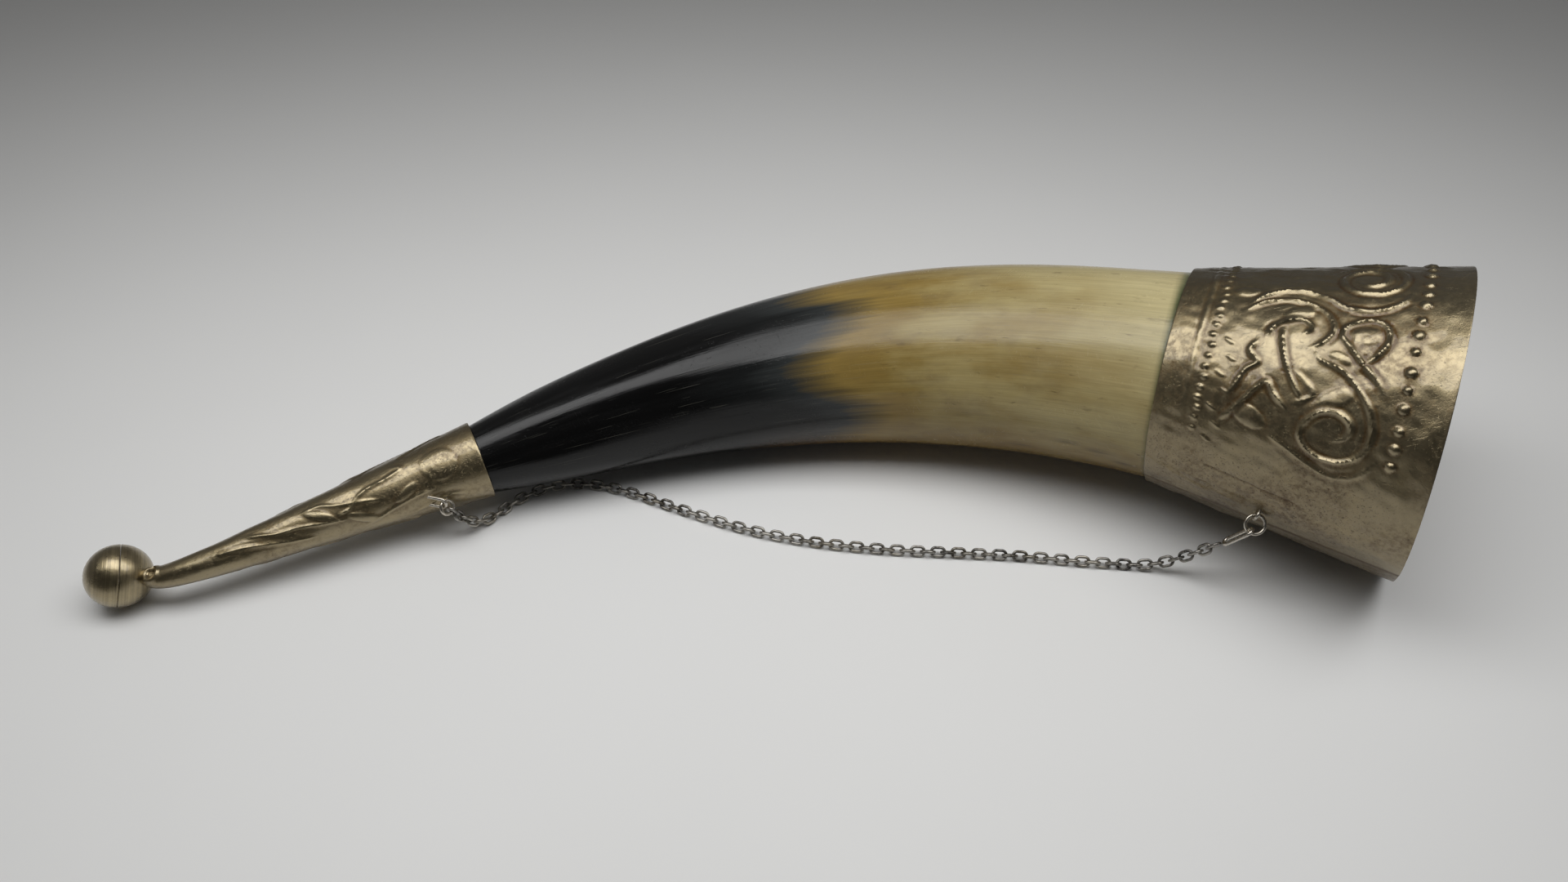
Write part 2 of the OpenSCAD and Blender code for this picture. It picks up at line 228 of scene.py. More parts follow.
def turned(profile, origin, axis, sides=128):
    """Points and faces of a closed profile of (along, radius) turned about an axis."""
    axis = unit(axis)
    across = unit(np.cross(axis, (0.3, 0.2, 1)))
    third = np.cross(axis, across)
    a = np.linspace(0, 2 * math.pi, sides, endpoint=False)[None, :, None]
    p = np.asarray(profile, float)
    rings = origin + p[:, None, :1] * axis + p[:, None, 1:] * (np.cos(a) * across + np.sin(a) * third)
    rows = len(p)
    faces = grid_faces(rows, sides, True)
    faces += [[(rows - 1) * sides + k, (rows - 1) * sides + (k + 1) % sides, (k + 1) % sides, k]
              for k in range(sides)]
    return rings.reshape(-1, 3), faces


def smooth_line(points, per_span=14):
    """A Catmull-Rom curve through the points."""
    p = np.asarray(points, float)
    p = np.vstack([2 * p[0] - p[1], p, 2 * p[-1] - p[-2]])
    u = np.linspace(0, 1, per_span, endpoint=False)[:, None]
    spans = [0.5 * (2 * b + (c - a) * u + (2 * a - 5 * b + 4 * c - d) * u**2
                    + (3 * b - a - 3 * c + d) * u**3)
             for a, b, c, d in zip(p, p[1:], p[2:], p[3:])]
    return np.vstack(spans + [p[-2:-1]])


def wavy(x, y, seed, waves=9, size=8.0):
    """A smooth uneven field between about -1 and 1, with bumps about size across."""
    rng = np.random.default_rng(seed)
    total = np.zeros(np.broadcast(x, y).shape)
    for _ in range(waves):
        heading, phase = rng.uniform(0, 2 * math.pi, 2)
        pitch = size * rng.uniform(0.7, 1.8)
        total += np.sin(2 * math.pi * (x * math.cos(heading) + y * math.sin(heading)) / pitch + phase)
    return total / math.sqrt(waves)


# ---- Embossing --------------------------------------------------------------------------


class Sheet:
    """The outside of a rolled sheet: turn in degrees, along and radius in millimetres."""

    def __init__(self, turn, along, radius):
        self.turn, self.along, self.radius = np.broadcast_arrays(turn, along, radius)
        self.height = np.zeros(self.turn.shape)

    def distances(self, points, reach):
        """(vertices near the points, distance to the nearest point, its index)."""
        points = np.atleast_2d(points)
        scale = np.radians(1) * self.radius
        middle = (points[:, 0].min() + points[:, 0].max()) / 2
        half = (points[:, 0].max() - points[:, 0].min()) / 2
        swing = (self.turn - middle + 180) % 360 - 180
        near = (np.abs(swing) * scale < half * scale + reach) \
            & (self.along > points[:, 1].min() - reach) & (self.along < points[:, 1].max() + reach)
        sx = (swing[near][:, None] - (points[:, 0] - middle)[None]) * scale[near][:, None]
        sy = self.along[near][:, None] - points[:, 1][None]
        d2 = sx**2 + sy**2
        nearest = d2.argmin(1)
        return near, np.sqrt(d2[np.arange(len(d2)), nearest]), nearest

    def line(self, points, height, width, taper=0.12, groove=0.22):
        """A raised line with a chased groove on each side, thinner at its ends."""
        points = smooth_line(points)
        near, d, nearest = self.distances(points, 5 * width)
        share = nearest / (len(points) - 1)
        end = np.clip(np.minimum(share, 1 - share) / taper, 0.12, 1) ** 0.6
        across = (d / (width * end)) ** 2
        ridge = height * end * (0.6 * np.exp(-across / 0.4) + 0.4 * np.exp(-across / 2.6))
        dip = groove * height * end * np.exp(-(((d - 2.3 * width) / (0.8 * width)) ** 2))
        old = self.height[near]
        self.height[near] = np.maximum(old, ridge) - np.where(ridge > 0.4 * height, 0, dip)

    def dome(self, centre, size, height, lean=0.0, power=0.5):
        """A raised oval: size is its half length along and its half width around, in degrees lean."""
        near, d, _ = self.distances([centre], 1.6 * max(size))
        sx = ((self.turn[near] - centre[0] + 180) % 360 - 180) * np.radians(1) * self.radius[near]
        sy = self.along[near] - centre[1]
        c, s = math.cos(math.radians(lean)), math.sin(math.radians(lean))
        q = ((sx * s + sy * c) / size[0]) ** 2 + ((sx * c - sy * s) / size[1]) ** 2
        self.height[near] = np.maximum(self.height[near], height * np.clip(1 - q, 0, 1) ** power)

    def crease_mask(self, wrap):
        """How far each point lies in a hollow beside something raised, 0 to 1."""
        blurred = self.height.copy()
        for _ in range(6):
            for axis in (0, 1):
                if axis == 1 and wrap:
                    before, after = np.roll(blurred, 1, 1), np.roll(blurred, -1, 1)
                else:
                    pad = [(1, 1) if k == axis else (0, 0) for k in (0, 1)]
                    padded = np.pad(blurred, pad, mode="edge")
                    before, after = (np.take(padded, range(start, start + blurred.shape[axis]), axis)
                                     for start in (0, 2))
                blurred = (before + blurred + after) / 3
        return np.clip((blurred - self.height) / 0.16, 0, 1), np.clip((self.height - blurred) / 0.2, 0, 1)


def spiral(centre, r0, r1, start, turns, round_mm):
    """Points of a spiral as (turn in degrees, along): radii in millimetres, start in degrees."""
    u = np.linspace(0, 1, max(6, int(10 * abs(turns))))
    a = np.radians(start + 360 * turns * u)
    r = r0 + (r1 - r0) * u
    return np.column_stack([centre[0] + np.degrees(r * np.cos(a) / round_mm), centre[1] + r * np.sin(a)])


# Scrolls of the collar's panel, as (turn in degrees, millimetres back from the mouth).
PANEL_SCROLLS = (
    # the large scroll that runs down from the arch and rolls up at the bottom
    ([(150, 27.5), (145.5, 25.5), (142.5, 21), (136, 17), (129.5, 14.3), (121, 12.9), (113.5, 14.2),
      (109.3, 18.2), (110.2, 23), (115, 26), (120.5, 26), (126, 23.5), (127, 20), (123.5, 17.2),
      (118.5, 17.6), (116.3, 20.5)], 0.85, 0.85),
    # the line that follows the large scroll outside
    ([(114, 33), (109.5, 28), (104.8, 22.5), (103, 18), (106, 13.6), (112.5, 11.2)], 0.45, 0.9),
    # the loop and its stalk
    ([(136, 12.4), (140.5, 14.4), (145.3, 17.2), (151, 20.2), (156.5, 22.7), (161.5, 21.4),
      (164, 18), (161.5, 14.9), (155.5, 13.9), (150, 15.3), (145.3, 17.6)], 0.85, 0.8),
    ([(153.5, 19.8), (157.5, 19.8), (158.7, 17.4), (156, 16.3)], 0.5, 0.7),
    # the arch that runs up to the top roll
    ([(168, 42.5), (174, 39.5), (177.8, 35.5), (177.5, 31), (173.5, 26.6), (169, 22.5), (168.5, 17.5),
      (172.5, 13.2), (180, 11)], 0.9, 0.9),
    ([(165, 42.8), (170.5, 39), (172.3, 34.5), (170.5, 30), (165, 26), (158.5, 24.4), (153, 25.8),
      (150, 28.2)], 0.8, 0.75),
    # the hooked leaf and its stem
    ([(152.5, 37), (157.5, 36.2), (161, 33.8), (161.8, 30.6), (158.5, 28.6), (155.5, 30)], 0.9, 0.8),
    ([(158.5, 34.3), (152.5, 33.8), (144.5, 32.4), (136, 30), (129, 27.2)], 0.8, 0.75),
    # the wave beside it
    ([(113.5, 42.6), (119, 40.8), (125, 38.6), (131, 36.6), (133.8, 34.8), (129.5, 32.8),
      (124, 29.6)], 0.85, 0.85),
    ([(122, 43), (130.5, 41), (137.5, 39.6), (141.5, 37.6), (146, 39.6), (151.5, 38.4)], 0.6, 0.7),
    ([(140, 29.8), (132.5, 25.6), (127.5, 28.4)], 0.4, 0.7),
)
PANEL_DOMES = (((119, 37), (4.2, 2.2), 0.5, 25), ((157, 18), (3.4, 2.2), 0.35, 0),
               ((165.5, 31.5), (3.6, 1.9), 0.45, -30), ((132, 21), (4.4, 2.0), 0.35, -35),
               ((147, 22), (2.4, 1.4), 0.35, 20), ((177, 43), (2.6, 1.5), 0.4, 0))
PANEL_MIRROR = 205.0
TOP_ROLL = (188.0, 19.5)
# A line scratched above the seam: its distances back from the mouth and its angles.
SCRIBED_LINE = ((22.0, 45.0), (85.0, 90.5))


# Lines and leaves of the sheath, as (turn in degrees, millimetres from the neck): height and width follow.
SHEATH_ROLL = (124, 67.5)
SHEATH_LINES = (
    (spiral(SHEATH_ROLL, 4.6, 1.6, 200, 1.5, 8.8), 0.19, 0.36),
    ([(190, 47), (178, 51), (168, 55.5), (161, 60), (158, 64)], 0.31, 0.40),
    ([(92, 56), (104, 58.5), (112, 55), (116, 50), (126, 47), (140, 45), (146, 41)], 0.31, 0.43),
    ([(146, 52), (136, 48), (122, 42), (108, 38.5), (106, 34)], 0.26, 0.43),
    ([(160, 44), (150, 38), (138, 33), (132, 28), (118, 24.5), (104, 21)], 0.28, 0.43),
    ([(176, 36), (164, 30), (146, 24), (132, 19), (124, 14)], 0.24, 0.40),
    ([(196, 58), (186, 62), (178, 67), (184, 70.5)], 0.25, 0.40),
)
SHEATH_LEAVES = (((130, 38), (4.2, 1.1), 0.3, 35), ((168, 47), (4.0, 1.2), 0.3, 30),
                 ((150, 58), (3.4, 1.2), 0.28, -25))


def emboss_collar(sheet, metal):
    """Beads, scrolls and leaves. The panel is repeated as its mirror image round the back."""
    for mirrored in (False, True):
        def place(points):
            p = np.array(points, float)
            if mirrored:
                p[:, 0] = 2 * PANEL_MIRROR - p[:, 0]
            return p
        for centre, size, height, lean in PANEL_DOMES:
            sheet.dome(place([centre])[0], size, height, -lean if mirrored else lean)
        for points, height, width in PANEL_SCROLLS:
            sheet.line(place(points), height * metal.line_height / MM, width * metal.line_width / MM)
        roll = spiral(TOP_ROLL, 8.2, 1.9, 70, -1.9, COLLAR_R2 - 3)
        sheet.line(place(roll), 0.75 * metal.line_height / MM, 0.8 * metal.line_width / MM)
    sheet.line([(turn, 50.6) for turn in np.linspace(112, 350, 120)], 0.2, 0.38, taper=0.15, groove=0.3)
    for turn in np.arange(112.0, 342, 6.7):
        size = 1.02 + 0.12 * math.sin(2.3 * turn)
        sheet.dome((turn + 0.5 * math.sin(5 * turn), 8.5 + 0.3 * math.sin(turn)), (size, size), 0.62)
    for turn in np.arange(107, 345, 4.9):
        sheet.dome((turn + 0.4 * math.sin(4 * turn), 47.7 + 0.25 * math.sin(3 * turn)), (0.8, 0.7), 0.36)
    for turn, back in zip(np.arange(104, 150, 7.5), (44.6, 43.1, 44.9, 42.6, 44.4, 43.0, 44.2)):
        sheet.dome((turn, back), (1.3, 0.5), 0.22, lean=30)


def collar_piece(name, nodes, turn, back, drop, thick, material, embossed):
    """A closed slice of the collar's cone between the first and last turn."""
    cols = len(turn)
    grid_turn, grid_back = np.meshgrid(turn, back)
    sheet = Sheet(grid_turn, grid_back, collar_radius(grid_back))
    if embossed:
        emboss_collar(sheet, bpy.context.scene.horn_metal)
    dark, bright = sheet.crease_mask(wrap=False)
    arc = np.radians(grid_turn) * COLLAR_ROUND_R
    edge = np.minimum(np.minimum(grid_back, COLLAR_LEN - grid_back),
                      np.minimum(grid_turn - turn[0], turn[-1] - grid_turn) * 0.55)
    beaten = 0.10 * wavy(arc, grid_back, 3, size=9) + 0.05 * wavy(arc, grid_back, 8, size=3.6)
    beaten *= np.clip(edge / 4, 0.0, 1)
    rounding = 0.2 - np.sqrt(0.04 - np.clip(0.2 - edge, 0, 0.2) ** 2)
    from_seam = np.radians(np.abs(grid_turn - SEAM_ANGLE)) * sheet.radius
    seam = np.exp(-((from_seam / 0.45) ** 2)) if drop else np.zeros(from_seam.shape)
    # Painted shade in the gap under the seam's step: on the lap next to the seam, and on the sheet's own
    # edge there.
    painted_seam_shade = np.clip(2 - from_seam / 1.1, 0, 1.3) if drop else np.clip(1.8 - from_seam / 0.55, 0, 1.3)
    line_at = np.interp(grid_back, *SCRIBED_LINE)
    from_line = np.radians(np.abs(grid_turn - line_at)) * sheet.radius
    line_start, line_end = SCRIBED_LINE[0]
    ends = np.clip((grid_back - line_start) / 2, 0, 1) * np.clip((line_end - grid_back) / 2, 0, 1)
    scribed = ends * np.exp(-((from_line / 0.28) ** 2)) * (0 if drop else 1)
    outer_r = sheet.radius + sheet.height + beaten - drop - rounding - 0.3 * seam - 0.12 * scribed
    outer = at_mouth(grid_turn, grid_back, outer_r)
    inner_back = np.array([back[0], COLLAR_LEN / 2, back[-1]])
    inner_turn, inner_grid = np.meshgrid(turn, inner_back)
    inner = at_mouth(inner_turn, inner_grid, collar_radius(inner_grid) - thick)
    rows, first = len(back), outer.shape[0] * cols
    faces = grid_faces(rows, cols, False) + grid_faces(3, cols, False, first)
    for row, other in ((0, 0), (rows - 1, 2)):
        a, b = row * cols, first + other * cols
        faces += [[a + k, a + k + 1, b + k + 1, b + k] for k in range(cols - 1)]
    for k in (0, cols - 1):
        faces.append([r * cols + k for r in range(rows)] + [first + r * cols + k for r in (2, 1, 0)])
    points = np.vstack([outer.reshape(-1, 3), inner.reshape(-1, 3)])
    piece = add_piece(name, points, faces, nodes, material)
    blank = np.zeros(3 * cols)
    low = np.clip((122 - grid_turn) / 35, 0, 1) * np.clip(grid_back / 12, 0, 1)
    # The whole lap is painted darker.
    darker_lap = np.full(dark.shape, 0.4 if drop else 0.0)
    # The crease mask gathers the tarnish in the hollows, the pitted low part, the scribed line, the darker
    # lap and the painted shade at the seam.
    dark = np.maximum.reduce([dark, 0.22 * low, painted_seam_shade, 0.8 * scribed, darker_lap])
    paint(piece, "crease", np.concatenate([dark.ravel(), blank]))
    paint(piece, "worn", np.concatenate([bright.ravel(), blank]))
    paint(piece, "pitted", np.concatenate([low.ravel(), blank]))
    return piece


# ---- Materials --------------------------------------------------------------------------


class Nodes:
    """Short calls that add nodes to one tree."""

    def __init__(self, tree):
        self.tree = tree

    def add(self, kind, inputs=(), **settings):
        node = self.tree.nodes.new(kind)
        for key, value in settings.items():
            setattr(node, key, value)
        for key, value in dict(inputs).items():
            self.feed(node.inputs[key], value)
        return node

    def feed(self, socket, value):
        if isinstance(value, bpy.types.NodeSocket):
            self.tree.links.new(value, socket)
        else:
            socket.default_value = value

    def noise(self, vector, scale, detail=4.0, roughness=0.55, distortion=0.0):
        return self.add("ShaderNodeTexNoise", {"Vector": vector, "Scale": scale, "Detail": detail,
                        "Roughness": roughness, "Distortion": distortion}).outputs["Fac"]

    def math(self, operation, a, b=0.0, clamp=False):
        node = self.add("ShaderNodeMath", operation=operation, use_clamp=clamp)
        self.feed(node.inputs[0], a)
        self.feed(node.inputs[1], b)
        return node.outputs[0]

    def span(self, value, low, high, to_low=0.0, to_high=1.0):
        node = self.add("ShaderNodeMapRange", interpolation_type="SMOOTHSTEP", clamp=True)
        for key, number in zip(("Value", "From Min", "From Max", "To Min", "To Max"),
                               (value, low, high, to_low, to_high)):
            self.feed(node.inputs[key], number)
        return node.outputs["Result"]

    def mix(self, factor, a, b, blend="MIX"):
        node = self.add("ShaderNodeMix", data_type="RGBA", blend_type=blend)
        for index, value in ((0, factor), (6, a), (7, b)):
            self.feed(node.inputs[index], value)
        return node.outputs[2]

    def ramp(self, value, stops):
        node = self.add("ShaderNodeValToRGB", {"Fac": value})
        ramp = node.color_ramp
        while len(ramp.elements) < len(stops):
            ramp.elements.new(0.5)
        for element, (place, colour) in zip(ramp.elements, stops):
            element.position = place
            element.color = (*colour, 1)
        return node.outputs["Color"]

    def grey(self, value):
        inputs = {"Red": value, "Green": value, "Blue": value}
        return self.add("ShaderNodeCombineColor", inputs).outputs["Color"]

    def stretched(self, vector, scale):
        return self.add("ShaderNodeMapping", {"Vector": vector, "Scale": scale}).outputs["Vector"]

    def painted(self, name, output="Fac"):
        return self.add("ShaderNodeAttribute", attribute_name=name).outputs[output]

    def group(self, tree, inputs):
        node = self.add("ShaderNodeGroup", node_tree=tree)
        for key, value in inputs.items():
            self.feed(node.inputs[key], value)
        return node.outputs

    def bump(self, height, distance):
        return self.add("ShaderNodeBump", {"Height": height, "Distance": distance}).outputs["Normal"]


def node_group(name, inputs, outputs):
    """A new shader node group with named sockets. Returns its nodes, its inputs and its output node."""
    tree = bpy.data.node_groups.new(name, "ShaderNodeTree")
    for side, sockets in (("INPUT", inputs), ("OUTPUT", outputs)):
        for label, kind, *default in sockets:
            socket = tree.interface.new_socket(name=label, in_out=side, socket_type="NodeSocket" + kind)
            if default:
                socket.default_value = default[0]
    nodes = Nodes(tree)
    return nodes, nodes.add("NodeGroupInput").outputs, nodes.add("NodeGroupOutput").inputs


def scratches_group():
    """Fine straight scratches in three directions, as a mask."""
    n, given, out = node_group("fine scratches", [("Vector", "Vector"), ("Scale", "Float", 400.0),
                               ("Amount", "Float", 0.5)], [("Mask", "Float")])
    total = 0.0
    for heading, seed in ((0.4, 0.0), (1.5, 3.1), (2.5, 7.7)):
        turned_to = n.add("ShaderNodeMapping", {"Vector": given["Vector"], "Rotation": (0.6, 0.3, heading),
                          "Location": (seed, seed, seed)}).outputs["Vector"]
        hair = n.noise(n.stretched(turned_to, (0.03, 1.0, 1.0)), given["Scale"], detail=2.0)
        patch = n.noise(turned_to, 120.0, detail=1.0)
        one = n.math("MULTIPLY", n.span(hair, 0.63, 0.70), n.span(patch, 0.5, 0.62))
        total = n.math("MAXIMUM", total, one)
    n.feed(out["Mask"], n.math("MULTIPLY", total, given["Amount"]))
    return n.tree


def worn_metal_group(scratches):
    """Colour, roughness and height of old nickel silver: bright where rubbed, brown in the hollows, and
    darker where shade is painted in through the Crease input.
    """
    n, given, out = node_group("worn metal", [
        ("Bright", "Color", (0.5, 0.43, 0.32, 1)), ("Dark", "Color", (0.14, 0.1, 0.06, 1)),
        ("Crease", "Float", 0.0), ("Worn", "Float", 0.0), ("Pitted", "Float", 0.0),
        ("Tarnish", "Float", 0.5), ("Smooth", "Float", 0.3)],
        [("Color", "Color"), ("Roughness", "Float"), ("Height", "Float")])
    at = n.add("ShaderNodeTexCoord").outputs["Object"]
    patch = n.span(n.noise(at, 70.0, detail=5.0, roughness=0.6), 0.36, 0.68)
    mottle = n.span(n.noise(at, 850.0, detail=4.0, roughness=0.65), 0.38, 0.66)
    pits = n.span(n.noise(at, 2300.0, detail=2.0), 0.58, 0.72)
    hair = n.group(scratches, {"Vector": at, "Scale": 1800.0, "Amount": 1.0})["Mask"]
    stain = n.math("MULTIPLY", n.math("MULTIPLY", patch, given["Tarnish"]), n.math("ADD", mottle, 0.35))
    spots = n.math("MULTIPLY", pits, n.math("ADD", n.math("MULTIPLY", given["Pitted"], 0.4), 0.1))
    # Tarnish and pits, with the Crease input, which holds the tarnish in the hollows and also painted shade.
    dirt_and_shade = n.math("ADD", n.math("ADD", stain, spots), n.math("MULTIPLY", given["Crease"], 0.85))
    dirt_and_shade = n.math("SUBTRACT", dirt_and_shade, n.math("MULTIPLY", given["Worn"], 0.55), clamp=True)
    base = n.mix(dirt_and_shade, given["Bright"], given["Dark"])
    gold = n.span(n.noise(at, 130.0, detail=3.0), 0.45, 0.7, 0.0, 0.3)
    base = n.mix(gold, base, n.mix(0.5, base, (0.42, 0.33, 0.16, 1)))
    n.feed(out["Color"], base)
    rough = n.math("ADD", given["Smooth"], n.math("MULTIPLY", dirt_and_shade, 0.22))
    rough = n.math("ADD", rough, n.math("MULTIPLY", mottle, 0.07))
    n.feed(out["Roughness"], n.math("ADD", rough, n.math("MULTIPLY", hair, 0.08), clamp=True))
    low = n.math("ADD", n.math("MULTIPLY", pits, n.math("ADD", given["Pitted"], 0.15)),
                 n.math("MULTIPLY", hair, 0.35))
    n.feed(out["Height"], n.math("SUBTRACT", n.math("MULTIPLY", mottle, 0.25), low))
    return n.tree


def new_material(name):
    material = bpy.data.materials.new(name)
    material.use_nodes = True
    n = Nodes(material.node_tree)
    return material, n, material.node_tree.nodes["Principled BSDF"]


# The thin clear film on old handled metal, which gives it its small white glints.
CLEAR_FILM = {"Coat Weight": 0.45, "Coat Roughness": 0.1, "Coat IOR": 1.6}
# How many times brighter the metal colours are painted on the sheath and on the ball than on the collar: lit
# copies of the one metal, standing in for the light they catch.
SHEATH_PAINTED_LIGHT, BALL_PAINTED_LIGHT = 1.15, 1.35


def painted_lighter(colour, times):
    return [times * part for part in colour]


def metal_material(name, groups, bright, dark, tarnish=0.5, smooth=0.3, relief=False, bump=0.00006):
    """Worn metal. With relief it reads the masks painted on an embossed sheet, painted shade among them."""
    material, n, surface = new_material(name)
    given = {"Bright": (*bright, 1), "Dark": (*dark, 1), "Tarnish": tarnish, "Smooth": smooth}
    if relief:
        given.update({"Crease": n.painted("crease"), "Worn": n.painted("worn"),
                      "Pitted": n.painted("pitted")})
    made = n.group(groups["worn metal"], given)
    surface.inputs["Metallic"].default_value = 1.0
    for label, value in CLEAR_FILM.items():
        surface.inputs[label].default_value = value
    n.feed(surface.inputs["Base Color"], made["Color"])
    n.feed(surface.inputs["Roughness"], made["Roughness"])
    n.feed(surface.inputs["Normal"], n.bump(made["Height"], bump))
    return material


def turned_metal_material(groups, metal):
    """The ball: the same metal with fine turning rings round its axis."""
    # The ball's metal colour is painted brighter, a lit copy of the collar's.
    material = metal_material("ball metal", groups, painted_lighter(metal.bright, BALL_PAINTED_LIGHT), metal.dark,
                              0.15, 0.27, bump=0.00002)
    n = Nodes(material.node_tree)
    surface = material.node_tree.nodes["Principled BSDF"]
    along = n.stretched(n.painted("lathe", "Vector"), (1, 0, 0))
    bands = n.span(n.noise(along, 1100.0, detail=4.0, roughness=0.7), 0.35, 0.65, 0.72, 1.1)
    plain = surface.inputs["Base Color"].links[0].from_socket
    n.feed(surface.inputs["Base Color"], n.mix(1.0, plain, n.grey(bands), "MULTIPLY"))
    rings = n.noise(along, 3200.0, detail=4.0, roughness=0.7)
    old = surface.inputs["Normal"].links[0].from_socket
    fine = n.add("ShaderNodeBump", {"Height": rings, "Distance": 0.0001, "Normal": old})
    n.feed(surface.inputs["Normal"], fine.outputs["Normal"])
    return material


def horn_material(groups, looks):
    """Polished horn: black at the tip, through blue-grey streaks to honey and cream."""
    material, n, surface = new_material("polished horn")
    fibre = n.painted("fibre", "Vector")
    shade = n.painted("shade")
    pale = n.painted("pale")
    broad = n.noise(n.stretched(fibre, (1, 1, 0.05)), 330.0, detail=3.0)
    streak = n.noise(n.stretched(fibre, (1, 1, 0.035)), 1300.0, detail=4.0, roughness=0.6)
    hairs = n.noise(n.stretched(fibre, (1, 1, 0.02)), 4200.0, detail=2.0)
    cloud = n.noise(n.stretched(fibre, (1, 1, 0.35)), 120.0, detail=4.0)
    shift = n.math("ADD", n.math("MULTIPLY", n.math("SUBTRACT", broad, 0.5), 0.20),
                   n.math("MULTIPLY", n.math("SUBTRACT", streak, 0.5), 0.16))
    place = n.math("ADD", shade, shift)
    dark, honey = tuple(looks.tip), tuple(looks.honey)
    body = n.ramp(n.math("ADD", n.math("MULTIPLY", place, 0.5), 0.5), [
        (0.0, dark), (0.26, dark), (0.40, (0.011, 0.012, 0.012)), (0.48, tuple(looks.smoke)),
        (0.535, (0.11, 0.082, 0.036)), (0.60, honey), (1.0, honey)])
    warm = n.mix(n.span(cloud, 0.35, 0.65), (*honey, 1), (0.31, 0.235, 0.085, 1))
    past = n.span(place, 0.10, 0.42)
    body = n.mix(past, body, warm)
    patches = n.noise(n.stretched(fibre, (1, 1, 0.45)), 210.0, detail=5.0, roughness=0.65)
    brown = n.math("MULTIPLY", n.span(patches, 0.45, 0.68), past)
    body = n.mix(n.math("MULTIPLY", brown, 0.45), body, (0.17, 0.115, 0.045, 1))
    clouded = n.math("ADD", pale, n.math("MULTIPLY", n.math("SUBTRACT", cloud, 0.5), 0.9))
    cream = n.math("MULTIPLY", clouded, n.span(place, 0.25, 0.6), clamp=True)
    body = n.mix(cream, body, (*looks.cream, 1))
    speck = n.span(n.noise(n.stretched(fibre, (1, 1, 0.28)), 520.0, detail=5.0), 0.63, 0.72)
    fleck = n.math("MULTIPLY", speck, n.span(n.painted("under"), 0.2, 0.9, 0.3, 0.85))
    dash = n.span(n.noise(n.stretched(fibre, (1, 1, 0.12)), 1900.0, detail=3.0), 0.66, 0.74, 0.0, 0.4)
    marks = n.math("MULTIPLY", n.painted("marks"), n.span(streak, 0.44, 0.56, 0.1, 0.8))
    fleck = n.math("MAXIMUM", n.math("MAXIMUM", fleck, dash), marks)
    body = n.mix(n.math("MULTIPLY", n.painted("belly"), 0.65), body, (0.13, 0.068, 0.02, 1))
    hair_way = n.add("ShaderNodeMapping", {"Vector": fibre, "Rotation": (0.35, -0.45, 0.2),
                     "Scale": (1, 1, 0.025)})
    hairline = n.span(n.noise(hair_way.outputs["Vector"], 2600.0, detail=1.0), 0.71, 0.74, 0.0, 0.12)
    body = n.mix(hairline, body, (0.30, 0.29, 0.24, 1))
    body = n.mix(n.math("MULTIPLY", fleck, past), body, (0.07, 0.045, 0.02, 1))
    grain = n.math("MULTIPLY", n.span(streak, 0.3, 0.7, 0.93, 1.05), n.span(hairs, 0.3, 0.7, 0.93, 1.05))
    body = n.mix(1.0, body, n.grey(grain), "MULTIPLY")
    edge = n.math("MULTIPLY", n.painted("edge"), n.span(cloud, 0.3, 0.6, 0.75, 1.0))
    body = n.mix(edge, body, (0.02, 0.045, 0.014, 1))
    inside = n.painted("inside")
    raw = n.mix(n.span(cloud, 0.3, 0.7), (0.16, 0.10, 0.045, 1), (0.30, 0.22, 0.11, 1))
    body = n.mix(inside, body, raw)
    n.feed(surface.inputs["Base Color"], body)
    scratch = n.group(groups["fine scratches"], {"Vector": fibre, "Scale": 1500.0, "Amount": 1.0})["Mask"]
    smear = n.noise(n.stretched(fibre, (1, 1, 0.12)), 260.0, detail=3.0)
    rough = n.math("ADD", n.span(smear, 0.38, 0.62, 0.13, 0.27), n.math("MULTIPLY", scratch, 0.08))
    rough = n.math("ADD", rough, n.math("MULTIPLY", inside, 0.3), clamp=True)
    n.feed(surface.inputs["Roughness"], rough)
    height = n.math("ADD", n.math("MULTIPLY", streak, 0.35), n.math("MULTIPLY", hairs, 0.3))
    height = n.math("SUBTRACT", height, n.math("MULTIPLY", scratch, 0.2))
    n.feed(surface.inputs["Normal"], n.bump(height, 0.00005))
    surface.inputs["IOR"].default_value = 1.45
    surface.inputs["Specular IOR Level"].default_value = 0.4
    return material


def cement_material():
    material, n, surface = new_material("setting cement")
    at = n.add("ShaderNodeTexCoord").outputs["Object"]
    grit = n.noise(at, 1200.0, detail=5.0)
    colour = n.ramp(grit, [(0.3, (0.05, 0.03, 0.015)), (0.7, (0.14, 0.09, 0.05))])
    n.feed(surface.inputs["Base Color"], colour)
    n.feed(surface.inputs["Roughness"], n.span(grit, 0.3, 0.7, 0.7, 0.95))
    n.feed(surface.inputs["Normal"], n.bump(grit, 0.0002))
    return material


def floor_material(colour):
    """A pale floor with a painted pool of light: brightest round the piece and softly darker further off."""
    material, n, surface = new_material("pale floor")
    at = n.add("ShaderNodeTexCoord").outputs["Object"]
    faint = n.span(n.noise(at, 9.0, detail=3.0), 0.3, 0.7, 0.985, 1.0)
    around = n.add("ShaderNodeMapping", {"Vector": at, "Location": (0, 0.06, 0), "Scale": (0.6, 1, 1)})
    away = n.add("ShaderNodeVectorMath", {0: around.outputs["Vector"]}, operation="LENGTH").outputs["Value"]
    painted_light_pool = n.span(away, 0.07, 0.45, 1.0, 0.60)
    tone = n.grey(n.math("MULTIPLY", faint, painted_light_pool))
    n.feed(surface.inputs["Base Color"], n.mix(1.0, (*colour, 1), tone, "MULTIPLY"))
    surface.inputs["Roughness"].default_value = 0.55
    return material


GROUPS = {}


